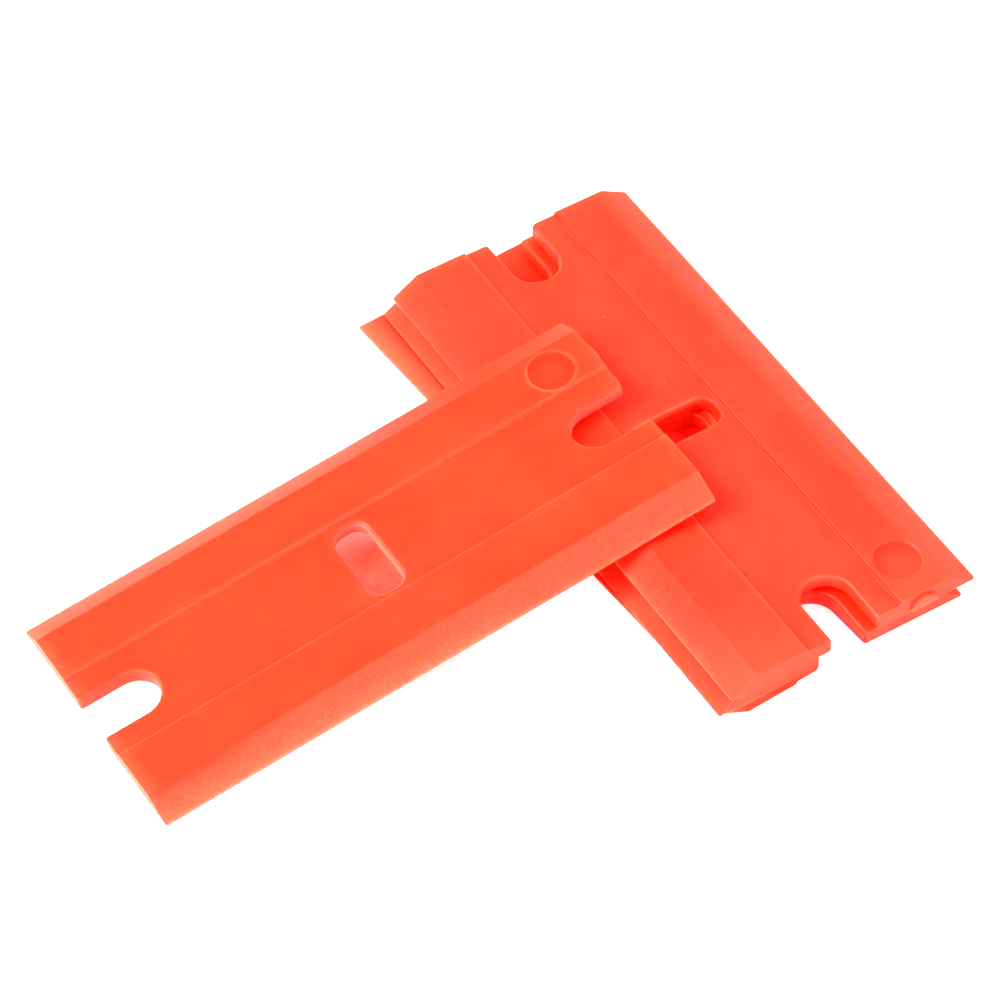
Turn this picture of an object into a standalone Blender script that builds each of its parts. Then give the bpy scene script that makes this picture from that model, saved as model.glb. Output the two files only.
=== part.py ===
"""Set of four loose double-edged plastic scraper blades.

Three blades lie stacked on the floor and a fourth leans on them from the
front (-Y). All four are the same one-piece moulding: a rectangular plate with
a flat underside, a recessed central web between two raised bands, a bevel down
to a cutting edge along each long side, an open notch in each short end, and
an oblong slot across the middle.

Blade frame: origin at the middle of the flat underside, X along the blade
towards its gate end, Y across it, Z up from the underside.
World frame: origin on the floor at the middle of the set's footprint, X along
the stacked blades, the leaning blade comes in from -Y, +Z up.
Lengths are in millimetres and are scaled to metres by MM.
"""

import math

import bmesh
import bpy
from mathutils import Euler, Vector

MM = 0.001

# ---- plate -------------------------------------------------------------
LENGTH = 43.0            # short end to short end
WIDTH = 19.4             # cutting edge to cutting edge
BAND_THICKNESS = 1.35    # underside to the raised bands
WEB_THICKNESS = 1.11     # underside to the recessed web
EDGE_LAND = 0.12         # height left at the cutting edge
BEVEL_WIDTH = 2.04       # from the cutting edge in to the band
WEB_HALF_WIDTH = 3.69    # centre line to the middle of the step
STEP_RUN = 0.10          # width of the sloping step between web and band
PLAN_CORNER = 0.18       # radius of the plate's corners, seen from above
PLAN_CORNER_STEPS = 5

END_X = LENGTH / 2
EDGE_Y = WIDTH / 2
BAND_EDGE_Y = EDGE_Y - BEVEL_WIDTH

# ---- open notch in each short end --------------------------------------
NOTCH_HALF_WIDTH = 1.79
NOTCH_DEPTH = 5.05       # from the short end to the closed end
NOTCH_ARC_STEPS = 24
MOUTH_RADIUS = 0.18      # the two corners where the notch opens
MOUTH_STEPS = 5

# ---- slot across the middle --------------------------------------------
SLOT_HALF_ALONG = 1.32   # half size in X
SLOT_HALF_ACROSS = 3.20  # half size in Y
SLOT_CORNER = 1.05
SLOT_CORNER_STEPS = 8

# ---- shallow round recess on the band by the gate ----------------------
DIMPLE_RADIUS = 1.66
DIMPLE_DEPTH = 0.15
DIMPLE_FROM_END = 3.20
DIMPLE_Y = 5.68
DIMPLE_STEPS = 40

# ---- snipped gate mark on the +X short end, D-shaped -------------------
GATE_Y = 5.55
GATE_HALF_WIDTH = 1.05
GATE_FOOT = 0.14         # height of its flat lower edge above the underside
GATE_HEIGHT = 0.90       # from there to the top of its arch
GATE_STANDS_OUT = 0.26
GATE_ROOT = 0.4          # length buried in the plate
GATE_TAPER = 0.86        # size of the outer face relative to the root
GATE_STEPS = 16

# ---- tools and mesh clean-up -------------------------------------------
OVERRUN = 1.0            # how far the blank and the cutters run past the blade
WELD_DISTANCE = 0.002
FLAT_ANGLE = math.radians(0.2)    # faces closer to flat than this are merged
SHARP_ANGLE = math.radians(25)    # steeper edges are shaded sharp

# ---- how the blades lie, measured from the centre of the top blade -----
GAP = 0.30               # clearance between neighbouring blades
PITCH = BAND_THICKNESS + GAP

# Name, centre (x, y), height of the flat underside, roll about X (degrees),
# yaw about Z (degrees), colour. The bottom blade lies face down.
STACKED_BLADES = (
    ("bottom_blade", (-1.24, -1.30), BAND_THICKNESS, 180.0, 180.0 + 3.3,
     (0.93, 0.115, 0.043)),
    ("middle_blade", (-0.38, -0.62), PITCH, 0.0, 180.0 - 0.15,
     (0.95, 0.112, 0.041)),
    ("top_blade", (0.0, 0.0), 2 * PITCH, 0.0, 0.0,
     (0.96, 0.109, 0.040)),
)

LEAN_FOOT_X = -1.44      # middle of the foot edge, on the floor
LEAN_FOOT_Y = -44.81
LEAN_YAW = 90.0
LEAN_COLOUR = (0.97, 0.107, 0.038)

PLASTIC_ROUGHNESS = 0.38


# ---- outlines ----------------------------------------------------------
def arc_angles(start, sweep, steps):
    """Evenly spaced angles in radians, from a start and sweep in degrees."""
    return [math.radians(start + sweep * i / steps) for i in range(steps + 1)]


def rounded_rectangle(half_x, half_y, radius, steps):
    points = []
    corners = ((1, 1, 0), (-1, 1, 90), (-1, -1, 180), (1, -1, 270))
    for side_x, side_y, turn in corners:
        centre_x = side_x * (half_x - radius)
        centre_y = side_y * (half_y - radius)
        for angle in arc_angles(turn, 90.0, steps):
            points.append((centre_x + radius * math.cos(angle),
                           centre_y + radius * math.sin(angle)))
    return points


def circle(centre_x, centre_y, radius, steps):
    angles = [2 * math.pi * i / steps for i in range(steps)]
    return [(centre_x + radius * math.cos(angle), centre_y + radius * math.sin(angle))
            for angle in angles]


def notch_outline(end):
    """U shape open past the short end, with a rounded mouth; end is +1 or -1."""
    right = [(END_X + OVERRUN, -NOTCH_HALF_WIDTH - MOUTH_RADIUS)]
    for angle in arc_angles(0.0, 90.0, MOUTH_STEPS):
        right.append((END_X - MOUTH_RADIUS * (1 - math.cos(angle)),
                      -NOTCH_HALF_WIDTH - MOUTH_RADIUS * (1 - math.sin(angle))))
    left = [(x, -y) for x, y in reversed(right)]

    arc_centre = END_X - NOTCH_DEPTH + NOTCH_HALF_WIDTH
    closed_end = [(arc_centre - NOTCH_HALF_WIDTH * math.cos(angle),
                   NOTCH_HALF_WIDTH * math.sin(angle))
                  for angle in arc_angles(-90.0, 180.0, NOTCH_ARC_STEPS)]
    return [(end * x, y) for x, y in right + closed_end + left]


def gate_outline():
    """Flat-footed arch, as (y, z) pairs."""
    return [(GATE_Y + GATE_HALF_WIDTH * math.cos(angle),
             GATE_FOOT + GATE_HEIGHT * math.sin(angle))
            for angle in arc_angles(0.0, 180.0, GATE_STEPS)]


def cross_section():
    """Outline (y, z) of the plate, with the bevels run out to nothing."""
    bevel_slope = (BAND_THICKNESS - EDGE_LAND) / BEVEL_WIDTH
    tip = EDGE_Y + EDGE_LAND / bevel_slope
    step_top = WEB_HALF_WIDTH + STEP_RUN / 2
    step_bottom = WEB_HALF_WIDTH - STEP_RUN / 2
    return [
        (-tip, 0.0), (tip, 0.0),
        (BAND_EDGE_Y, BAND_THICKNESS), (step_top, BAND_THICKNESS),
        (step_bottom, WEB_THICKNESS), (-step_bottom, WEB_THICKNESS),
        (-step_top, BAND_THICKNESS), (-BAND_EDGE_Y, BAND_THICKNESS),
    ]


# ---- solids ------------------------------------------------------------
def link(obj):
    bpy.context.scene.collection.objects.link(obj)
    return obj


def prism(name, outline, low, high, axis="Z", taper=1.0, centre=(0.0, 0.0)):
    """Extrude a closed outline from low to high along Z or X.

    The outline holds (x, y) pairs for axis Z and (y, z) pairs for axis X.
    The high end is scaled by taper about centre.
    """
    along, across = (2, (0, 1)) if axis == "Z" else (0, (1, 2))
    bm = bmesh.new()
    ring = []
    for point in outline:
        position = Vector((0.0, 0.0, 0.0))
        position[along] = low * MM
        for index, value in zip(across, point):
            position[index] = value * MM
        ring.append(bm.verts.new(position))
    face = bm.faces.new(ring)
    extruded = bmesh.ops.extrude_face_region(bm, geom=[face])["geom"]

    step = Vector((0.0, 0.0, 0.0))
    step[along] = high - low
    for vert in (item for item in extruded if isinstance(item, bmesh.types.BMVert)):
        vert.co += step * MM
        for index, middle in zip(across, centre):
            vert.co[index] = (middle + (vert.co[index] / MM - middle) * taper) * MM

    bmesh.ops.recalc_face_normals(bm, faces=bm.faces)
    mesh = bpy.data.meshes.new(name)
    bm.to_mesh(mesh)
    bm.free()
    return link(bpy.data.objects.new(name, mesh))


def through_prism(name, outline):
    """Upright prism that passes right through the plate."""
    return prism(name, outline, -OVERRUN, BAND_THICKNESS + OVERRUN)


def blade_blank():
    return prism("blade_blank", cross_section(), -END_X - OVERRUN, END_X + OVERRUN, "X")


def plan_outline():
    return through_prism(
        "plan_outline",
        rounded_rectangle(END_X, EDGE_Y, PLAN_CORNER, PLAN_CORNER_STEPS))


def gate_mark():
    return prism("gate_mark", gate_outline(), END_X - GATE_ROOT, END_X + GATE_STANDS_OUT,
                 "X", taper=GATE_TAPER, centre=(GATE_Y, GATE_FOOT + GATE_HEIGHT / 3))


def cross_slot():
    return through_prism(
        "cross_slot",
        rounded_rectangle(SLOT_HALF_ALONG, SLOT_HALF_ACROSS, SLOT_CORNER, SLOT_CORNER_STEPS))


def gate_dimple():
    return prism("gate_dimple",
                 circle(END_X - DIMPLE_FROM_END, DIMPLE_Y, DIMPLE_RADIUS, DIMPLE_STEPS),
                 BAND_THICKNESS - DIMPLE_DEPTH, BAND_THICKNESS + OVERRUN)


def add_boolean(obj, tool, operation):
    modifier = obj.modifiers.new(tool.name, "BOOLEAN")
    modifier.operation = operation
    modifier.solver = "EXACT"
    modifier.object = tool


def clean_up(mesh):
    """Weld stray vertices and merge flat faces left by the booleans."""
    bm = bmesh.new()
    bm.from_mesh(mesh)
    bmesh.ops.remove_doubles(bm, verts=bm.verts, dist=WELD_DISTANCE * MM)
    bmesh.ops.dissolve_limit(bm, angle_limit=FLAT_ANGLE, verts=bm.verts, edges=bm.edges)
    bmesh.ops.recalc_face_normals(bm, faces=bm.faces)
    bm.to_mesh(mesh)
    bm.free()
    mesh.shade_smooth()
    mesh.set_sharp_from_angle(angle=SHARP_ANGLE)


def blade_mesh():
    """One blade mesh, with every cut taken and its tool objects removed."""
    blank = blade_blank()
    # The gate mark joins after the plan cut, which would otherwise trim it off.
    tools = (
        (plan_outline(), "INTERSECT"),
        (gate_mark(), "UNION"),
        (through_prism("notch_gate_end", notch_outline(1)), "DIFFERENCE"),
        (through_prism("notch_far_end", notch_outline(-1)), "DIFFERENCE"),
        (cross_slot(), "DIFFERENCE"),
        (gate_dimple(), "DIFFERENCE"),
    )
    for tool, operation in tools:
        add_boolean(blank, tool, operation)

    bpy.context.view_layer.update()
    evaluated = blank.evaluated_get(bpy.context.evaluated_depsgraph_get())
    mesh = bpy.data.meshes.new_from_object(evaluated)
    for obj in [blank] + [tool for tool, _ in tools]:
        bpy.data.objects.remove(obj, do_unlink=True)

    clean_up(mesh)
    return mesh


# ---- material ----------------------------------------------------------
def plastic(name, colour):
    mat = bpy.data.materials.new(name)
    mat.use_nodes = True
    shader = mat.node_tree.nodes["Principled BSDF"]
    shader.inputs["Base Color"].default_value = (*colour, 1.0)
    shader.inputs["Roughness"].default_value = PLASTIC_ROUGHNESS
    shader.inputs["Metallic"].default_value = 0.0
    mat.diffuse_color = (*colour, 1.0)
    return mat


# ---- the set -----------------------------------------------------------
def place_blade(name, mesh, location, rotation, colour, parent):
    """Add a blade with its own copy of the mesh and its own plastic."""
    own_mesh = mesh.copy()
    own_mesh.name = name
    own_mesh.materials.clear()
    own_mesh.materials.append(plastic(name + "_plastic", colour))
    obj = link(bpy.data.objects.new(name, own_mesh))
    obj.parent = parent
    obj.location = Vector(location) * MM
    obj.rotation_euler = rotation


def place_stack(mesh):
    stack = link(bpy.data.objects.new("stack_origin", None))
    for name, (x, y), height, roll, yaw, colour in STACKED_BLADES:
        rotation = Euler((math.radians(roll), 0.0, math.radians(yaw)))
        place_blade(name, mesh, (x, y, height), rotation, colour, stack)
    return stack


def lean_angle():
    """Tilt that leaves GAP between the leaning blade and the top blade's front band edge."""
    contact_z = 2 * PITCH + BAND_THICKNESS
    reach = -BAND_EDGE_Y - LEAN_FOOT_Y
    return math.atan2(contact_z, reach) + math.asin(GAP / math.hypot(contact_z, reach))


def place_leaning_blade(mesh):
    """Turn a blade up about its foot edge, which stays on the floor."""
    foot = link(bpy.data.objects.new("lean_foot", None))
    foot.location = Vector((LEAN_FOOT_X, LEAN_FOOT_Y, 0.0)) * MM
    foot.rotation_euler = (0.0, 0.0, math.radians(LEAN_YAW))

    tilt = lean_angle()
    place_blade("leaning_blade", mesh,
                (END_X * math.cos(tilt), 0.0, END_X * math.sin(tilt)),
                Euler((0.0, -tilt, 0.0)), LEAN_COLOUR, foot)
    return foot


def centre_footprint(parents):
    """Shift the set so that the origin is the middle of its footprint."""
    bpy.context.view_layer.update()
    corners = [obj.matrix_world @ vert.co
               for obj in bpy.data.objects if obj.type == "MESH"
               for vert in obj.data.vertices]
    low = [min(corner[i] for corner in corners) for i in (0, 1)]
    high = [max(corner[i] for corner in corners) for i in (0, 1)]
    shift = Vector((-(low[0] + high[0]) / 2, -(low[1] + high[1]) / 2, 0.0))
    for parent in parents:
        parent.location += shift
    bpy.context.view_layer.update()


def clear_scene():
    for obj in list(bpy.data.objects):
        bpy.data.objects.remove(obj, do_unlink=True)


def build():
    clear_scene()
    mesh = blade_mesh()
    parents = (place_stack(mesh), place_leaning_blade(mesh))
    bpy.data.meshes.remove(mesh)
    centre_footprint(parents)


build()
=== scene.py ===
"""Four loose plastic scraper blades: three in a stack and one leaning on it.

One fine blade is modelled in its own frame, in mm: X runs to the gate end, Y across, Z up
from the flat side, with the middle of the flat side at the origin. A copy is laid over each
CAD blade. The scene is in metres, Z up, and the floor lies just under Z = 0.
"""

import math
from types import SimpleNamespace

import bmesh
import bpy
from mathutils import Euler, Matrix, Vector


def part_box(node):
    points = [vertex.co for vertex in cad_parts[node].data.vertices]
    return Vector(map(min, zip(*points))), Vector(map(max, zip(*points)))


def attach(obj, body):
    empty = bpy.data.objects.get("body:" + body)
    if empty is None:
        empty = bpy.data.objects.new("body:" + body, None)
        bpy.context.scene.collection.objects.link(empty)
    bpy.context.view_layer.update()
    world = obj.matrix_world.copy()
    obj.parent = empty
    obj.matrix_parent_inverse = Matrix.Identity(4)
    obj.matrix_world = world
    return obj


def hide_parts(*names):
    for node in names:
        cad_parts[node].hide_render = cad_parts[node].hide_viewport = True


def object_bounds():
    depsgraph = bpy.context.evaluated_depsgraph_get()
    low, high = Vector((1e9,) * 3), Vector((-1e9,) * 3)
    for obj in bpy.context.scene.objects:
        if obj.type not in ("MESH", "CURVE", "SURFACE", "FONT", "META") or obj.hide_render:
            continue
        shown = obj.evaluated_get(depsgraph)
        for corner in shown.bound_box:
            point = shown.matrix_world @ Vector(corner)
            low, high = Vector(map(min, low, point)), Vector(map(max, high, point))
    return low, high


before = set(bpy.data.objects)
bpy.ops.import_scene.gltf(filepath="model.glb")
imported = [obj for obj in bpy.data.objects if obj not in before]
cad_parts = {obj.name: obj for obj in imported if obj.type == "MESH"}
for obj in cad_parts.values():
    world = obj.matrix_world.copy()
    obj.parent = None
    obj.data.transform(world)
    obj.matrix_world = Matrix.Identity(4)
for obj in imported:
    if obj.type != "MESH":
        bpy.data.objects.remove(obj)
CAD_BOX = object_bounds()

MM = 0.001

# ---- the moulding (mm) --------------------------------------------------
LENGTH = 43.0
WIDTH = 19.4
HALF_LENGTH = LENGTH / 2
HALF_WIDTH = WIDTH / 2
BAND = 1.35             # thickness of the two bands along the plate
WEB = 1.11              # thickness of the lower web between them
EDGE_LAND = 0.12        # thickness left at the long edges
BEVEL = 2.04            # width of the bevel along each long edge
BEVEL_START = HALF_WIDTH - BEVEL
WEB_HALF = 3.69         # half width of the web, to the middle of the step
STEP_RUN = 0.10         # width of the step's slope
STEP_TOP = WEB_HALF + STEP_RUN / 2
CORNER = 0.18
NOTCH_HALF = 1.79       # half width of the round-bottomed notch in each end
NOTCH_DEPTH = 5.05
NOTCH_CENTRE = HALF_LENGTH - NOTCH_DEPTH + NOTCH_HALF
NOTCH_MOUTH = 0.18      # rounding where the notch meets the end
SLOT_HALF_X = 1.32
SLOT_HALF_Y = 3.20
SLOT_CORNER = 1.05
DIMPLE_R = 1.66
DIMPLE_DEPTH = 0.15
DIMPLE_X = HALF_LENGTH - 3.20
DIMPLE_Y = 5.68
DIMPLE_FLOOR = BAND - DIMPLE_DEPTH
GATE_Y = 5.55           # snipped gate mark on the +X end
GATE_HALF = 1.05
GATE_FOOT = 0.14
GATE_HEIGHT = 0.90
GATE_OUT = 0.26

# roundings that only the visual meshes carry
STEP_FILLET = 0.14      # at the top and foot of the step
BEVEL_FILLET = 0.35     # where the bevel leaves the band
RIM_FILLET = 0.26       # round the slot and notch mouths, upper side
BACK_FILLET = 0.08      # the same on the underside
ARRIS = 0.045           # all other edges

# how far cutting bodies run past the plate
CUT_LOW, CUT_HIGH = -1.0, 3.0
OVERRUN = 1.0

# How the stacked blades lie. The leaning blade's turn comes from its CAD box.
TURNS = {
    "bottom_blade": Euler((math.pi, 0.0, math.radians(180.0 + 3.3))).to_matrix(),
    "middle_blade": Euler((0.0, 0.0, math.radians(180.0 - 0.15))).to_matrix(),
    "top_blade": Matrix.Identity(3),
}
LEAN_GUESS = 7.0        # degrees, where the search for the leaning blade's tilt starts


# ---- mesh helpers -------------------------------------------------------
def link(obj):
    bpy.context.scene.collection.objects.link(obj)
    return obj


def rings_object(name, rings):
    """A closed body through rings of equal length; each ring is a list of (x, y, z) in mm."""
    body = bmesh.new()
    loops = [[body.verts.new((x * MM, y * MM, z * MM)) for x, y, z in ring] for ring in rings]
    count = len(rings[0])
    for lower, upper in zip(loops, loops[1:]):
        for i in range(count):
            j = (i + 1) % count
            body.faces.new((lower[i], lower[j], upper[j], upper[i]))
    body.faces.new(list(reversed(loops[0])))
    body.faces.new(loops[-1])
    bmesh.ops.recalc_face_normals(body, faces=body.faces)
    mesh = bpy.data.meshes.new(name)
    body.to_mesh(mesh)
    body.free()
    return link(bpy.data.objects.new(name, mesh))


def evaluated_mesh(obj):
    """A new mesh with the object's modifiers applied."""
    bpy.context.view_layer.update()
    return bpy.data.meshes.new_from_object(
        obj.evaluated_get(bpy.context.evaluated_depsgraph_get()))


def rounded_rectangle(half_x, half_y, radius, steps):
    points = []
    for sign_x, sign_y, turn in ((1, 1, 0), (-1, 1, 90), (-1, -1, 180), (1, -1, 270)):
        centre_x, centre_y = sign_x * (half_x - radius), sign_y * (half_y - radius)
        for i in range(steps + 1):
            angle = math.radians(turn + 90.0 * i / steps)
            points.append((centre_x + radius * math.cos(angle),
                           centre_y + radius * math.sin(angle)))
    return points


def fillet(before, corner, after, radius, steps):
    """Points of an arc tangent to the two lines that meet at corner."""
    corner = Vector(corner)
    back = (Vector(before) - corner).normalized()
    onward = (Vector(after) - corner).normalized()
    half = back.angle(onward) / 2
    start = corner + back * (radius / math.tan(half))
    end = corner + onward * (radius / math.tan(half))
    centre = corner + (back + onward).normalized() * (radius / math.sin(half))
    first, last = start - centre, end - centre
    sweep = math.atan2(first.x * last.y - first.y * last.x, first.dot(last))
    points = []
    for i in range(steps + 1):
        cos, sin = math.cos(sweep * i / steps), math.sin(sweep * i / steps)
        points.append((centre.x + first.x * cos - first.y * sin,
                       centre.y + first.x * sin + first.y * cos))
    return points


# ---- the fine blade -----------------------------------------------------
def cross_section():
    """(y, z) outline of the plate, with the bevels run out to nothing."""
    slope = (BAND - EDGE_LAND) / BEVEL
    corners = [(HALF_WIDTH + EDGE_LAND / slope, 0.0), (BEVEL_START, BAND), (STEP_TOP, BAND),
               (WEB_HALF - STEP_RUN / 2, WEB), (0.0, WEB)]
    side = corners[:1]
    for i, radius in enumerate((BEVEL_FILLET, STEP_FILLET, STEP_FILLET)):
        side += fillet(*corners[i:i + 3], radius, steps=4)
    return side + [(-y, z) for y, z in reversed(side)]


def rounded_cut(outline_at):
    """Rings of a through cutter that rounds the rims it leaves at z = 0 and z = WEB."""
    steps = 5
    sweep = math.radians(84.0)      # short of 90, so the cutter crosses the faces at an angle
    back, top = BACK_FILLET, RIM_FILLET
    stations = [(back * (1 - math.cos(sweep)) + 0.02, CUT_LOW)]     # (outward offset, z)
    for i in range(steps + 1):
        angle = sweep * (1 - i / steps)
        stations.append((back * (1 - math.cos(angle)), back * (1 - math.sin(angle))))
    for i in range(steps + 1):
        angle = sweep * i / steps
        stations.append((top * (1 - math.cos(angle)), WEB - top * (1 - math.sin(angle))))
    stations.append((top * (1 - math.cos(sweep)) + 0.04, CUT_HIGH))
    return [[(x, y, z) for x, y in outline_at(offset)] for offset, z in stations]


def notch_outline(end):
    """Outline of the notch in the +X end (end = 1) or the -X end (end = -1)."""
    def outline(offset):
        half = NOTCH_HALF + offset
        side = [(HALF_LENGTH + OVERRUN, half + NOTCH_MOUTH)]
        for i in range(9):
            angle = math.radians(90.0 * i / 8)
            side.append((HALF_LENGTH - NOTCH_MOUTH * (1 - math.cos(angle)),
                         half + NOTCH_MOUTH * (1 - math.sin(angle))))
        points = [(x, -y) for x, y in side]
        for i in range(33):
            angle = math.radians(-90.0 + 180.0 * i / 32)
            points.append((NOTCH_CENTRE - half * math.cos(angle), half * math.sin(angle)))
        points += reversed(side)
        return [(end * x, y) for x, y in points]
    return outline


def slot_outline(offset):
    return rounded_rectangle(SLOT_HALF_X + offset, SLOT_HALF_Y + offset,
                             SLOT_CORNER + offset, steps=12)


def gate_rings():
    """Snipped gate mark: a flat-footed arch that stands out of the +X end."""
    middle = GATE_FOOT + GATE_HEIGHT / 3
    rings = []
    # distance out of the end, size of the arch there
    for out, size in ((-0.40, 1.0), (GATE_OUT - 0.07, 1.0), (GATE_OUT - 0.02, 0.95),
                      (GATE_OUT, 0.86)):
        rings.append([
            (HALF_LENGTH + out,
             GATE_Y + GATE_HALF * size * math.cos(math.pi * i / 30),
             middle + (GATE_HEIGHT * math.sin(math.pi * i / 30) - GATE_HEIGHT / 3) * size)
            for i in range(31)])
    return rings


def dimple_rings():
    profile = (     # radius, z
        (DIMPLE_R - 0.15, DIMPLE_FLOOR), (DIMPLE_R - 0.08, DIMPLE_FLOOR + 0.02),
        (DIMPLE_R - 0.04, DIMPLE_FLOOR + 0.07), (DIMPLE_R - 0.01, BAND - 0.05),
        (DIMPLE_R + 0.02, BAND - 0.015), (DIMPLE_R + 0.06, BAND + 0.003),
        (DIMPLE_R + 0.06, CUT_HIGH))
    return [[(DIMPLE_X + radius * math.cos(2 * math.pi * i / 72),
              DIMPLE_Y + radius * math.sin(2 * math.pi * i / 72), z) for i in range(72)]
            for radius, z in profile]


def cut_blade():
    """The blade's mesh after the cuts, its outer edges still sharp."""
    section, plan = cross_section(), rounded_rectangle(HALF_LENGTH, HALF_WIDTH, CORNER, steps=6)
    blank = rings_object("blank", [[(x, y, z) for y, z in section]
                                   for x in (-HALF_LENGTH - OVERRUN, HALF_LENGTH + OVERRUN)])
    tools = []
    for name, operation, rings in (
            ("plan", "INTERSECT", [[(x, y, z) for x, y in plan] for z in (CUT_LOW, CUT_HIGH)]),
            ("gate", "UNION", gate_rings()),
            ("notch_a", "DIFFERENCE", rounded_cut(notch_outline(1))),
            ("notch_b", "DIFFERENCE", rounded_cut(notch_outline(-1))),
            ("slot", "DIFFERENCE", rounded_cut(slot_outline)),
            ("dimple", "DIFFERENCE", dimple_rings())):
        tools.append(rings_object(name, rings))
        boolean = blank.modifiers.new(name, "BOOLEAN")
        boolean.operation = operation
        boolean.solver = "EXACT"
        boolean.object = tools[-1]
    mesh = evaluated_mesh(blank)
    for obj in [blank] + tools:
        bpy.data.objects.remove(obj, do_unlink=True)

    body = bmesh.new()
    body.from_mesh(mesh)
    bmesh.ops.remove_doubles(body, verts=body.verts, dist=0.000002)
    bmesh.ops.dissolve_limit(body, angle_limit=math.radians(0.2), verts=body.verts,
                             edges=body.edges)
    bmesh.ops.recalc_face_normals(body, faces=body.faces)
    body.to_mesh(mesh)
    body.free()
    return mesh


def blade_mesh():
    """The cut blade with its sharp edges broken; large faces keep their own normals."""
    mesh = cut_blade()
    obj = link(bpy.data.objects.new("fine_blade", mesh))
    mesh.shade_smooth()
    bevel = obj.modifiers.new("arris", "BEVEL")
    bevel.width = ARRIS * MM
    bevel.segments = 3
    bevel.limit_method = "ANGLE"
    bevel.angle_limit = math.radians(35)
    obj.modifiers.new("weigh", "WEIGHTED_NORMAL").weight = 100
    fine = evaluated_mesh(obj)
    bpy.data.objects.remove(obj, do_unlink=True)
    bpy.data.meshes.remove(mesh)
    return fine


def lean_turn(node):
    """The leaning blade's turn, from the height its CAD node reaches."""
    low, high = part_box(node)
    height = (high.z - low.z) / MM
    tilt = math.radians(LEAN_GUESS)
    for _ in range(60):
        tilt = math.asin((height - BAND * math.cos(tilt)) / LENGTH)
    return (Euler((0.0, 0.0, math.radians(90.0))).to_matrix()
            @ Euler((0.0, -tilt, 0.0)).to_matrix())


def place_blade(node, fine):
    """A fine blade in the CAD node's place, which remembers its own mm and normals."""
    turn = TURNS.get(node) or lean_turn(node)
    mesh = fine.copy()
    mesh.name = "fine_" + node
    own = mesh.attributes.new("blade_mm", "FLOAT_VECTOR", "POINT")
    for i, vertex in enumerate(mesh.vertices):
        own.data[i].vector = vertex.co / MM
    facing = mesh.attributes.new("blade_facing", "FLOAT_VECTOR", "CORNER")
    for i, normal in enumerate(mesh.corner_normals):
        facing.data[i].vector = normal.vector
    mesh.transform(turn.to_4x4())
    points = [vertex.co for vertex in mesh.vertices]
    low = Vector(min(point[i] for point in points) for i in range(3))
    high = Vector(max(point[i] for point in points) for i in range(3))
    cad_low, cad_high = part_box(node)
    mesh.transform(Matrix.Translation(((cad_low + cad_high) - (low + high)) / 2))
    return link(bpy.data.objects.new("fine_" + node, mesh))


# ---- shader helpers: each adds a node to the tree its input sockets are in ----
def add_node(tree, kind, **settings):
    node = tree.nodes.new(kind)
    node.location = (40 * len(tree.nodes), 0)
    for name, value in settings.items():
        setattr(node, name, value)
    return node


def feed(socket, value):
    """Link a socket, or set a plain value."""
    if isinstance(value, bpy.types.NodeSocket):
        socket.id_data.links.new(value, socket)
    else:
        socket.default_value = value


def tree_of(*values):
    return next(value.id_data for value in values if isinstance(value, bpy.types.NodeSocket))


def calc(operation, first, second=0.0, third=None, clamp=False):
    node = add_node(tree_of(first, second, third), "ShaderNodeMath", operation=operation,
                    use_clamp=clamp)
    feed(node.inputs[0], first)
    feed(node.inputs[1], second)
    if third is not None:
        feed(node.inputs[2], third)
    return node.outputs[0]


def plus(first, second):
    return calc("ADD", first, second)


def minus(first, second):
    return calc("SUBTRACT", first, second)


def above(value, limit):
    return calc("GREATER_THAN", value, limit)


def positive(value):
    return calc("MAXIMUM", value, 0.0)


def times(product, *values):
    for value in values:
        product = calc("MULTIPLY", product, value)
    return product


def length(side_a, side_b):
    return calc("SQRT", plus(times(side_a, side_a), times(side_b, side_b)))


def fade(distance, reach, power):
    """1 at distance 0, falling to 0 at reach; 1 below 0."""
    left = calc("SUBTRACT", 1.0, calc("DIVIDE", positive(distance), reach), clamp=True)
    return calc("POWER", left, power)


def ramp(value, start, end, out=(0.0, 1.0)):
    """Smooth step from out[0] where value is start to out[1] where it is end."""
    node = add_node(tree_of(value), "ShaderNodeMapRange", interpolation_type="SMOOTHSTEP")
    feed(node.inputs["Value"], value)
    for name, number in (("From Min", start), ("From Max", end),
                         ("To Min", out[0]), ("To Max", out[1])):
        node.inputs[name].default_value = number
    return node.outputs["Result"]


def noise(vector, scale, detail=2.0, rough=0.5, seed=0.0):
    node = add_node(tree_of(vector), "ShaderNodeTexNoise", noise_dimensions="4D")
    for name, value in (("Vector", vector), ("W", seed), ("Scale", scale),
                        ("Detail", detail), ("Roughness", rough)):
        feed(node.inputs[name], value)
    return node.outputs["Fac"]


def mix(factor, under, over):
    node = add_node(tree_of(factor), "ShaderNodeMix", data_type="RGBA")
    for index, value in ((0, factor), (6, under), (7, over)):
        feed(node.inputs[index], value)
    return node.outputs[2]


def scaled(vector, scale, shift=(0, 0, 0)):
    node = add_node(tree_of(vector), "ShaderNodeMapping")
    feed(node.inputs["Vector"], vector)
    node.inputs["Scale"].default_value = scale
    node.inputs["Location"].default_value = shift
    return node.outputs["Vector"]


def split(vector):
    node = add_node(tree_of(vector), "ShaderNodeSeparateXYZ")
    feed(node.inputs[0], vector)
    return node.outputs


def attribute(tree, name):
    return add_node(tree, "ShaderNodeAttribute", attribute_name=name).outputs["Vector"]


def open_sky(tree, samples, distance):
    """Ambient occlusion: 1 in the open, 0 where fully covered."""
    node = add_node(tree, "ShaderNodeAmbientOcclusion", samples=samples)
    node.inputs["Distance"].default_value = distance
    return node.outputs["AO"]


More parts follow.
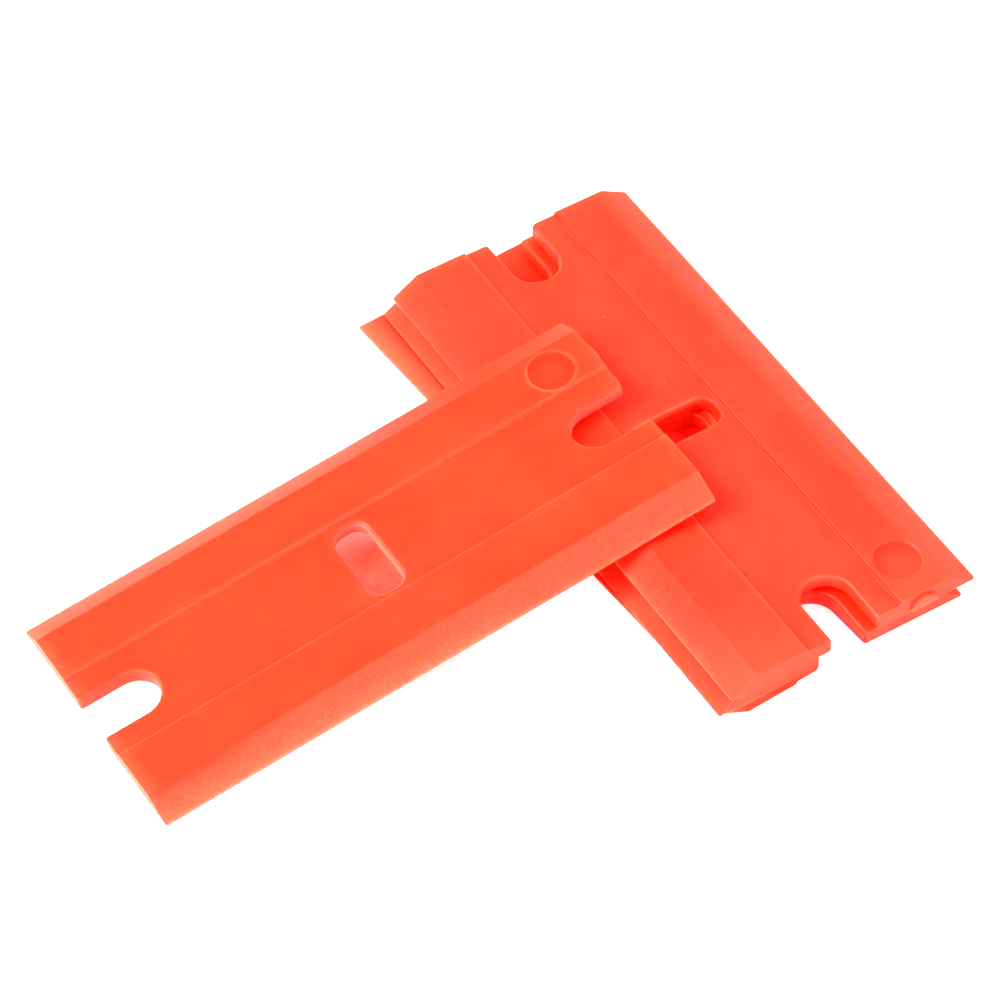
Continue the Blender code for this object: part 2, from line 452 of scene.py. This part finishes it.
# ---- blade plastic ------------------------------------------------------
# In the blade's own frame, near is the y < 0 side and far the y > 0 side. Numbers are
# strengths of a pale tint, or of a dark or deep one where below 0, unless noted; most are
# painted light and shade.
#   body        green and blue of the body colour
#   near, far   painted glow on the bevel: at its start (below 0, painted shade), at its edge, power of the rise
#   ends        painted glow on top near the x < 0 end and the x > 0 end
#   face        painted light and shade on the end faces, near and far
#   rim, wall   painted light and shade on hole mouths and walls: of the x < 0 notch, of the slot and other notch
#   brim, land  painted glow on the outer part of the bevel and on the thin long edge itself
#   step, lip   painted light and shade on the wall and top of the step, near and far
#   foot        painted shade on the web at the step's foot
#   dimple      darkness of the dimple's floor
#   shade       dimple's shadow: direction x, y, least share all round, strength
#   broad       broad painted glow on top towards the x > 0 end
#   grit        contrast of the bevels' grain
LOOKS = {
    "bottom_blade": dict(
        body=(0.0240, 0.0060), near=(0.00, 0.82, 1.2), far=(0.00, 0.82, 1.2),
        ends=(0.12, 0.15), face=(0.10, 0.10), rim=(0.0, 0.0), wall=(0.0, 0.0),
        brim=0.20, land=0.20, step=(0.1, -0.4), lip=(0.08, 0.08), foot=0.3,
        dimple=0.15, shade=(-1.0, 0.0, 0.5, 0.4), broad=0.3, grit=0.45),
    "middle_blade": dict(
        body=(0.0240, 0.0060), near=(-0.80, 0.16, 2.5), far=(-0.80, 0.16, 2.5),
        ends=(0.15, 0.20), face=(0.08, 0.10), rim=(-0.5, -0.6), wall=(0.0, 0.0),
        brim=0.05, land=0.00, step=(0.1, -0.4), lip=(0.08, 0.08), foot=0.3,
        dimple=0.15, shade=(-1.0, 0.0, 0.5, 0.4), broad=0.3, grit=1.0),
    "top_blade": dict(
        body=(0.0238, 0.0074), near=(-0.85, 0.33, 2.8), far=(0.12, 0.42, 2.0),
        ends=(0.22, 0.14), face=(0.06, 0.12), rim=(-0.35, 0.12), wall=(0.0, 0.0),
        brim=0.08, land=0.02, step=(0.60, -0.9), lip=(0.20, -0.45), foot=0.7,
        dimple=0.14, shade=(-0.97, -0.25, 0.45, 0.66), broad=0.9, grit=1.6),
    "leaning_blade": dict(
        body=(0.0230, 0.0042), near=(0.36, 0.95, 2.6), far=(0.02, 0.30, 2.0),
        ends=(0.36, 0.12), face=(0.15, 0.15), rim=(0.30, 0.30), wall=(0.25, 1.0),
        brim=0.24, land=0.45, step=(0.05, 0.45), lip=(0.09, 0.20), foot=0.2,
        dimple=0.20, shade=(-0.25, 0.97, 0.70, 0.72), broad=0.0, grit=1.0),
}
# PALE and EDGE mostly paint light: glow through the thin plastic, sheen and highlights. DARK
# mostly paints shade.
PALE = (1.0, 0.100, 0.048, 1)
EDGE = (1.0, 0.160, 0.110, 1)
DARK = (0.96, 0.010, 0.0008, 1)
CREASE = 0.12           # mm past its start by which the bevel's look has set in
PAST_NOTCH = -HALF_LENGTH + NOTCH_DEPTH + 1.0   # x that parts the -X notch from other holes

FLECKS = (      # cells per mm, shift of the pattern, radius in cells, colour, strength
    (0.30, 11.0, 0.040, (1.0, 0.40, 0.25, 1), 0.13),
    (0.26, 23.0, 0.035, (0.30, 0.02, 0.01, 1), 0.40),
    (0.80, 31.0, 0.045, (1.0, 0.20, 0.10, 1), 0.16),
)


def blade_zones(tree, node):
    """Distances (mm) and masks (0 to 1) over the blade, as sockets."""
    place = attribute(tree, "blade_mm")
    facing = attribute(tree, "blade_facing")
    x, y, z = split(place)
    forward, _, lift = split(facing)
    abs_x, abs_y = calc("ABSOLUTE", x), calc("ABSOLUTE", y)

    # distances; those to a hole or the dimple are below 0 inside it
    across = calc("DIVIDE", minus(abs_y, BEVEL_START), BEVEL, clamp=True)   # bevel, 0 to 1
    from_end = minus(HALF_LENGTH, abs_x)
    notch = minus(length(positive(minus(NOTCH_CENTRE, abs_x)), y), NOTCH_HALF)
    slot = minus(length(positive(minus(abs_x, SLOT_HALF_X - SLOT_CORNER)),
                        positive(minus(abs_y, SLOT_HALF_Y - SLOT_CORNER))), SLOT_CORNER)
    hole = calc("MINIMUM", notch, slot)
    step = minus(abs_y, STEP_TOP)
    dimple_x = minus(x, DIMPLE_X)
    dimple_y = minus(y, DIMPLE_Y)
    dimple = minus(length(dimple_x, dimple_y), DIMPLE_R)

    # masks
    up = ramp(lift, 0.30, 0.60)
    side_on = ramp(calc("ABSOLUTE", lift), 0.50, 0.20)
    far = above(y, 0.0)
    near = minus(1.0, far)
    sets_in = plus(times(near, ramp(abs_y, BEVEL_START - 0.05, BEVEL_START + CREASE)),
                   times(far, ramp(abs_y, BEVEL_START - 0.05, BEVEL_START + CREASE)))
    if node == "leaning_blade":         # the bevel's look, painted glow included, sets in more gradually near the end that rests on the floor
        soft_start = times(near, ramp(x, -10.0, -17.0))
        sets_in = plus(times(sets_in, minus(1.0, soft_start)),
                       times(soft_start, ramp(abs_y, BEVEL_START - 0.2, BEVEL_START + 0.8)))
    on_bevel = times(sets_in, up)
    end_face = ramp(from_end, 0.05, 0.01)
    off_end = minus(1.0, end_face)
    land = ramp(abs_y, HALF_WIDTH - 0.12, HALF_WIDTH - 0.02)
    at_step = ramp(calc("ABSOLUTE", minus(abs_y, WEB_HALF)), 0.26, 0.20)
    rim = times(ramp(lift, 0.10, 0.55), ramp(lift, 0.985, 0.80), ramp(hole, 0.35, 0.25))
    wall = times(side_on, ramp(hole, 0.20, 0.10))
    step_wall = times(at_step, ramp(lift, 0.90, 0.60), ramp(lift, 0.05, 0.15), off_end)
    return SimpleNamespace(
        place=place, x=x, y=y, z=z, forward=forward, lift=lift, abs_y=abs_y,
        across=across, from_end=from_end, slot=slot, hole=hole, step=step,
        dimple_x=dimple_x, dimple_y=dimple_y, dimple=dimple, up=up, near=near, far=far,
        on_bevel=on_bevel, thin=sets_in if node == "bottom_blade" else on_bevel,
        end_face=end_face, off_end=off_end, land=land, rim=rim, wall=wall,
        step_wall=step_wall)


class Paint:
    """The blade's colour, built up layer over layer from a cloudy, streaked body; most layers
    after the body are painted light and shade.
    """

    def __init__(self, zone, look, seed):
        green, blue = look["body"]
        self.base = (1.0, green, blue, 1)
        self.deep = (1.0, green * 0.80, blue * 0.7, 1)
        self.light = (1.0, green * 1.6, blue + 0.007, 1)
        cloud = noise(zone.place, scale=0.22, detail=3.0, rough=0.55, seed=seed)
        flow = noise(scaled(zone.place, (0.10, 0.55, 0.5)), scale=1.0, seed=seed + 3.1)
        mottle = noise(zone.place, scale=2.6, detail=3.0, rough=0.6, seed=seed + 7.7)
        self.grain = noise(zone.place, scale=7.5, detail=3.0, rough=0.7, seed=seed + 1.3)
        contrast = 0.42 * look["grit"]
        self.grainy = ramp(self.grain, 0.34, 0.68, out=(1.0 - contrast, 1.0 + contrast))
        self.colour = mix(ramp(cloud, 0.35, 0.68), self.base, self.deep)
        self.lay(self.light, ramp(flow, 0.45, 0.75), amount=0.30)
        self.lay(self.light, ramp(mottle, 0.55, 0.75), amount=0.15)

    def lay(self, tint, *masks, amount=None):
        """Lay a tint where all masks agree."""
        if amount is not None:
            masks += (amount,)
        self.colour = mix(times(*masks), self.colour, tint)

    def lay_signed(self, amount, *masks):
        """Lay pale where amount is above 0, else dark."""
        self.lay(PALE if amount > 0 else DARK, *masks, amount=abs(amount))


def paint_bevels(zone, paint, look, node):
    """Painted glow and sheen, paler towards the thin long edges."""
    leaning = node == "leaning_blade"
    across, near, far, thin = zone.across, zone.near, zone.far, zone.thin
    for side, (low, high, power) in ((near, look["near"]), (far, look["far"])):
        rise = calc("POWER", across, power)
        if leaning:         # the end that lies over the stack shows less of the painted glow
            over = ramp(zone.x, 3.0, 8.0, out=(1.0, 0.22 if side is near else 0.10))
            high_here = calc("MULTIPLY_ADD", over, high - low, low)
            amount = plus(times(minus(1.0, rise), low if side is near else times(over, low)),
                          times(rise, high_here))
        else:
            amount = calc("MULTIPLY_ADD", rise, high - max(low, 0.0), max(low, 0.0))
        paint.lay(PALE, amount, side, thin, paint.grainy)
        # below 0: painted shade where the bevel starts, on the middle blade under the top
        # blade's edge
        if low < 0:
            paint.lay(paint.deep, side, thin, fade(across, reach=1.0, power=0.7), amount=-low)
        # painted shade on the far bevel where it lies over the stack, with no white floor under
        # it
        elif leaning and side is far:
            paint.lay(paint.deep, side, thin, minus(1.0, over), amount=1.1)

    # painted glow, palest at the brim and on the edge itself, less so towards +X on the leaning
    # blade
    shown = minus(1.0, times(far, ramp(zone.x, 2.0, 7.0), 0.95 if leaning else 0.0))
    paint.lay(EDGE, ramp(across, 0.86, 1.0), thin, shown, amount=look["brim"])
    hidden_near = times(near, ramp(zone.x, 0.0, 14.0), 0.85 if leaning else 0.0)
    paint.lay(EDGE, zone.land, zone.off_end, shown, minus(1.0, hidden_near),
              amount=look["land"])

    if node == "top_blade":
        # speckled near bevel, darker just past its start, painted shade towards the x < 0 end,
        # and a lighter run-in to the far bevel
        paint.lay(DARK, near, thin, fade(across, reach=0.7, power=1.0), amount=0.16)
        paint.lay(paint.light, near, thin, ramp(paint.grain, 0.50, 0.62), amount=0.70)
        paint.lay(DARK, near, thin, ramp(paint.grain, 0.50, 0.38), amount=0.35)
        paint.lay(paint.deep, near, zone.up, ramp(zone.x, -4.0, -12.0), amount=0.35)
        run_in = 0.75
        paint.lay(paint.light, far, zone.up, ramp(zone.abs_y, BEVEL_START - 1.0, BEVEL_START),
                  run_in, minus(1.0, zone.on_bevel))


def paint_ends(zone, paint, look):
    first, last = look["ends"]
    which_end = calc("MULTIPLY_ADD", above(zone.x, 0.0), last - first, first)
    # painted glow on top near each end
    paint.lay(PALE, fade(zone.from_end, reach=1.7, power=2.6), which_end)
    # painted light and shade on the end faces
    for side, amount in zip((zone.near, zone.far), look["face"]):
        paint.lay_signed(amount, zone.end_face, side)
    # painted shade at the foot of the end faces, where they meet what lies below
    paint.lay(DARK, zone.end_face, fade(zone.z, reach=0.40, power=1.0), amount=0.55)
    # broad painted glow at the gate end, weaker on the web
    paint.lay(paint.light, zone.up, fade(minus(zone.from_end, 0.2), reach=6.5, power=1.3),
              ramp(zone.step, -0.3, 0.3, out=(0.25, 1.0)), above(zone.x, 0.0),
              amount=look["broad"])
    # gate mark, palest at its foot
    paint.lay(PALE, ramp(zone.from_end, -0.03, -0.10),
              ramp(zone.z, GATE_FOOT + 0.5, GATE_FOOT + 0.05, out=(0.35, 1.0)), amount=0.65)


def paint_step(zone, paint, look):
    step = zone.step
    # painted highlight on the band beside the step, painted shade on the web at its foot
    paint.lay(paint.light, zone.up, ramp(step, -0.04, 0.0), fade(step, reach=0.9, power=2.0),
              amount=0.40)
    foot = minus(-0.10, step)
    paint.lay(paint.deep, zone.up, ramp(foot, -0.02, 0.02), fade(foot, reach=1.0, power=1.4),
              amount=look["foot"])
    # painted light and shade on the top and wall of the step, near and far
    for side, on_wall, on_lip in zip((zone.near, zone.far), look["step"], look["lip"]):
        paint.lay_signed(on_lip, ramp(calc("ABSOLUTE", step), 0.24, 0.04), zone.up, side)
        paint.lay_signed(on_wall, zone.step_wall, side)


def paint_holes(zone, paint, look, node):
    """Painted light and shade on the rims and walls of the notches and the slot."""
    # painted light round the hole mouths
    paint.lay(paint.light, zone.up, fade(zone.hole, reach=0.7, power=2.0), amount=0.45)
    beyond = above(zone.x, PAST_NOTCH)
    # painted highlight (above 0) and painted shade (below 0) on the rims
    for where, amount in zip((minus(1.0, beyond), beyond), look["rim"]):
        paint.lay_signed(amount, zone.rim, where)

    # walls: painted light from the mouth, painted shade (deep red) at the foot
    first, rest = look["wall"]
    lit = ramp(zone.x, PAST_NOTCH, PAST_NOTCH + 1.0, out=(first, rest))
    paint.lay(DARK, zone.wall, ramp(zone.z, WEB * 0.95, WEB * 0.15),
              amount=0.75 * (1 - max(first, rest)))
    lit_wall = times(zone.wall, lit, ramp(zone.z, 0.0, WEB * 0.8, out=(0.55, 1.0)))
    paint.lay(mix(beyond, PALE, EDGE), lit_wall)
    if node == "top_blade":             # walls that face the gate end catch light at their top
        facing_gate = times(beyond, ramp(zone.forward, 0.25, 0.75),
                            ramp(zone.hole, 0.35, 0.20))
        paint.lay(PALE, facing_gate, ramp(zone.z, WEB * 0.25, WEB * 0.80),
                  ramp(zone.slot, 0.3, 1.0, out=(0.85, 0.50)))


def paint_dimple(zone, paint, look, node):
    """A darker floor, painted shade on its wall, a painted shadow and, on the leaning blade, a
    painted highlight on the lip.
    """
    dimple = zone.dimple

    def share_towards(x, y, distance):
        return calc("DIVIDE", plus(times(zone.dimple_x, x), times(zone.dimple_y, y)), distance)

    on_band = ramp(zone.z, DIMPLE_FLOOR - 0.1, DIMPLE_FLOOR - 0.02)
    paint.lay(DARK, ramp(dimple, -0.10, -0.16), on_band, amount=look["dimple"])
    # painted shade on the dimple's wall
    paint.lay(DARK, ramp(dimple, -0.17, -0.13), ramp(dimple, 0.02, -0.02), on_band,
              amount=0.04)
    shade_x, shade_y, least, strength = look["shade"]
    shade_side = share_towards(shade_x, shade_y,
                               calc("MAXIMUM", plus(dimple, DIMPLE_R), 0.05))
    inside = minus(-0.12, dimple)
    paint.lay(DARK, ramp(dimple, -0.06, -0.13), ramp(inside, 1.0, 0.15), on_band,
              ramp(shade_side, -0.7, 0.8, out=(least, 1.0)), amount=strength)
    # painted highlight on the lip
    if node == "leaning_blade":
        toward_lip = share_towards(-0.93, -0.37, plus(dimple, DIMPLE_R))
        paint.lay(PALE, ramp(toward_lip, 0.1, 0.9, out=(0.35, 1.0)),
                  ramp(dimple, -0.03, 0.03), ramp(dimple, 0.32, 0.10), on_band, amount=0.55)


def paint_shadows(tree, zone, paint, node):
    """Deeper red where light only reaches it down a hole or between the stacked blades."""
    in_slot = times(ramp(zone.slot, 0.30, 0.15),
                    ramp(calc("ABSOLUTE", zone.lift), 0.985, 0.85))
    if node == "top_blade":
        paint.lay(DARK, in_slot, ramp(zone.y, 2.2, 2.9), amount=0.75)
        beside = times(ramp(zone.x, -18.5, -14.5), ramp(zone.x, -6.0, -10.0))
        paint.lay(DARK, zone.near, zone.thin, beside, amount=0.30)
        return
    sky = open_sky(tree, samples=6, distance=0.004)
    middle = ramp(zone.abs_y, 6.0, 4.5)
    if node == "bottom_blade":
        paint.lay(DARK, ramp(sky, 0.56, 0.26), amount=0.88)
        paint.lay(DARK, ramp(sky, 0.93, 0.58), middle, amount=0.88)
    else:
        paint.lay(DARK, ramp(sky, 0.85, 0.50), middle, amount=0.80)
    paint.lay(DARK, in_slot, ramp(sky, 0.95, 0.75), amount=0.88)


def paint_flecks(tree, zone, paint, seed):
    """Scattered pale and dark inclusions, away from the bevels."""
    for scale, shift, size, tint, amount in FLECKS:
        cell = add_node(tree, "ShaderNodeTexVoronoi", feature="F1", voronoi_dimensions="3D")
        feed(cell.inputs["Vector"],
             scaled(zone.place, (1, 1, 1), shift=(seed * 3.7 + shift, shift, seed)))
        cell.inputs["Scale"].default_value = scale
        chance = add_node(tree, "ShaderNodeSeparateColor")
        feed(chance.inputs[0], cell.outputs["Color"])
        paint.lay(tint, ramp(cell.outputs["Distance"], size, size * 0.35),
                  above(chance.outputs[0], 0.55), minus(1.0, zone.thin), amount=amount)


def finish_surface(tree, shader, zone, node, seed):
    """Smeared gloss, scattering and relief; the bevels are rougher and grained."""
    place, on_bevel = zone.place, zone.on_bevel
    smear = noise(scaled(place, (0.35, 1.6, 1.0)), scale=0.8, detail=4.0, rough=0.6,
                  seed=seed + 5.0)
    rough = calc("MULTIPLY_ADD", smear, 0.20, 0.30)
    rough = calc("MULTIPLY_ADD", on_bevel, 0.16, rough)
    rough = calc("MULTIPLY_ADD", zone.end_face, 0.12, rough)
    feed(shader.inputs["Roughness"], rough)
    shader.inputs["IOR"].default_value = 1.49
    bevel_loss = 0.0 if node == "leaning_blade" else -0.06
    feed(shader.inputs["Specular IOR Level"],
         calc("MULTIPLY_ADD", on_bevel, bevel_loss, 0.12))
    shader.inputs["Subsurface Weight"].default_value = 1.0
    shader.inputs["Subsurface Radius"].default_value = (1.0, 0.065, 0.045)
    shader.inputs["Subsurface Scale"].default_value = 0.006

    # relief in mm: grain, slight sink and polish lines
    relief = times(noise(place, scale=5.2, detail=3.0, rough=0.7, seed=seed + 2.0),
                   calc("MULTIPLY_ADD", on_bevel, 0.022, 0.0012))
    sink = times(noise(scaled(place, (0.5, 1.0, 1.0)), scale=0.33, rough=0.4,
                       seed=seed + 9.0), 0.020)
    lines = times(noise(scaled(place, (0.06, 5.0, 5.0)), scale=1.0, detail=3.0, rough=0.6,
                        seed=seed + 4.0), 0.0018)
    height = plus(plus(relief, sink), lines)
    bump = add_node(tree, "ShaderNodeBump")
    bump.inputs["Strength"].default_value = 1.0
    bump.inputs["Distance"].default_value = MM
    feed(bump.inputs["Height"], height)
    feed(shader.inputs["Normal"], bump.outputs[0])


def blade_plastic(node, seed):
    """Translucent orange-red moulded plastic, laid out in the blade's own millimetres."""
    look = LOOKS[node]
    material = bpy.data.materials.new(node + "_translucent")
    material.use_nodes = True
    tree = material.node_tree
    tree.nodes.clear()
    output = add_node(tree, "ShaderNodeOutputMaterial")
    shader = add_node(tree, "ShaderNodeBsdfPrincipled")
    feed(output.inputs["Surface"], shader.outputs[0])

    zone = blade_zones(tree, node)
    paint = Paint(zone, look, seed)
    paint_bevels(zone, paint, look, node)
    paint_ends(zone, paint, look)
    paint_step(zone, paint, look)
    paint_holes(zone, paint, look, node)
    paint_dimple(zone, paint, look, node)
    if node != "leaning_blade":
        paint_shadows(tree, zone, paint, node)
    paint_flecks(tree, zone, paint, seed)
    feed(shader.inputs["Base Color"], paint.colour)
    shader.inputs["Base Color"].default_value = paint.base      # plain colour under the link
    finish_surface(tree, shader, zone, node, seed)
    return material


# ---- floor --------------------------------------------------------------
FLOOR_GLOW = 0.35       # the floor is a dimly lit white table
RED_LIGHT_POOLS = (   # painted pools of red light come through the blades: under which blade, shift x and y, outer and full radius (m), colour
    ("leaning_blade", 0.0, 0.0, 0.0100, 0.0030, (0.97, 0.15, 0.080, 1)),
    ("leaning_blade", 0.0012, 0.0032, 0.0058, 0.0016, (0.97, 0.060, 0.036, 1)),
    ("top_blade", 0.0, 0.0, 0.0125, 0.0030, (0.92, 0.02, 0.01, 1)),
)


def floor_material():
    """Pale floor; what little light reaches it deep under the blades has come through them."""
    material = bpy.data.materials.new("pale_floor")
    material.use_nodes = True
    tree = material.node_tree
    shader = tree.nodes["Principled BSDF"]
    coordinates = add_node(tree, "ShaderNodeTexCoord").outputs["Object"]
    cloud = noise(scaled(coordinates, (1000, 1000, 1000)), scale=0.05)
    sky = open_sky(tree, samples=8, distance=0.012)
    covered = ramp(sky, 0.60, 0.45)
    well_under = ramp(sky, 0.56, 0.44)
    place = add_node(tree, "ShaderNodeNewGeometry").outputs["Position"]
    colour = mix(cloud, (0.95, 0.95, 0.95, 1), (0.97, 0.97, 0.97, 1))
    under = 0.0
    for node, shift_x, shift_y, reach, full, tint in RED_LIGHT_POOLS:
        low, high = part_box(node)
        gap = add_node(tree, "ShaderNodeVectorMath", operation="DISTANCE")
        feed(gap.inputs[0], place)
        gap.inputs[1].default_value = ((low.x + high.x) / 2 + shift_x,
                                       (low.y + high.y) / 2 + shift_y, 0.0)
        here = times(well_under, ramp(gap.outputs["Value"], reach, full))
        colour = mix(here, colour, tint)
        under = calc("ADD", under, here, clamp=True)
    feed(shader.inputs["Base Color"], colour)
    feed(shader.inputs["Emission Color"], colour)
    # painted light: the floor glows brighter where the blades cover it, outside the red pools,
    # lifting their shadow
    edge_glow = times(covered, minus(1.0, under), 0.45)
    feed(shader.inputs["Emission Strength"], plus(edge_glow, FLOOR_GLOW))
    shader.inputs["Roughness"].default_value = 0.9
    shader.inputs["Specular IOR Level"].default_value = 0.1
    return material


def make_floor():
    grid = bmesh.new()
    bmesh.ops.create_grid(grid, x_segments=8, y_segments=8, size=3.0)
    mesh = bpy.data.meshes.new("floor")
    grid.to_mesh(mesh)
    grid.free()
    floor = link(bpy.data.objects.new("floor", mesh))
    floor.location.z = -0.00005
    mesh.materials.append(floor_material())


# ---- light and camera (degrees, metres, watts) --------------------------
WORLD_STRENGTH = 1.4
AZIMUTH, ELEVATION, ROLL = 59.4487, 48.7437, -1.6371     # of the camera
DISTANCE = 0.334966
TARGET = Vector((-0.0032025, 0.005893, 0.0))
SENSOR = 36.0           # mm
FOCAL = 4.8864115       # focal length in sensor widths


def toward(azimuth, elevation):
    """Unit vector; azimuth turns from -Y towards +X."""
    turn, rise = math.radians(azimuth), math.radians(elevation)
    return Vector((math.sin(turn) * math.cos(rise), -math.cos(turn) * math.cos(rise),
                   math.sin(rise)))


def make_world():
    world = bpy.data.worlds.new("soft_room")
    bpy.context.scene.world = world
    world.use_nodes = True
    background = world.node_tree.nodes["Background"]
    background.inputs["Color"].default_value = (1, 1, 1, 1)
    background.inputs["Strength"].default_value = WORLD_STRENGTH


def area_light(name, azimuth, elevation, distance, size, power):
    """A disk light aimed at the middle of the CAD."""
    data = bpy.data.lights.new(name, "AREA")
    data.shape = "DISK"
    data.size = size
    data.energy = power
    lamp = link(bpy.data.objects.new(name, data))
    direction = toward(azimuth, elevation)
    lamp.location = (CAD_BOX[0] + CAD_BOX[1]) / 2 + direction * distance
    lamp.rotation_mode = "QUATERNION"
    lamp.rotation_quaternion = (-direction).to_track_quat("-Z", "Y")


def make_camera():
    back = toward(AZIMUTH, ELEVATION)
    turn, roll = math.radians(AZIMUTH), math.radians(ROLL)
    right = Vector((math.cos(turn), math.sin(turn), 0.0))
    up = back.cross(right)
    camera_x = right * math.cos(roll) + up * math.sin(roll)
    camera_y = up * math.cos(roll) - right * math.sin(roll)
    camera = link(bpy.data.objects.new("camera", bpy.data.cameras.new("camera")))
    camera.data.sensor_width = SENSOR
    camera.data.lens = SENSOR * FOCAL
    camera.data.clip_start = 0.01
    camera.data.clip_end = 20.0
    axes = Matrix((camera_x, camera_y, back)).transposed().to_4x4()
    camera.matrix_world = Matrix.Translation(TARGET + back * DISTANCE) @ axes
    bpy.context.scene.camera = camera


# ---- build --------------------------------------------------------------
fine_blade = blade_mesh()
for index, node in enumerate(LOOKS):
    blade = place_blade(node, fine_blade)
    blade.data.materials.clear()
    blade.data.materials.append(blade_plastic(node, seed=1.7 + 5.3 * index))
    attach(blade, node)
    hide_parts(node)
bpy.data.meshes.remove(fine_blade)

make_floor()
make_world()
area_light("key", AZIMUTH - 80, elevation=46, distance=0.9, size=0.6, power=29.0)
area_light("fill", AZIMUTH + 40, elevation=50, distance=1.0, size=0.8, power=2.0)
make_camera()
bpy.context.scene.view_settings.view_transform = "Standard"
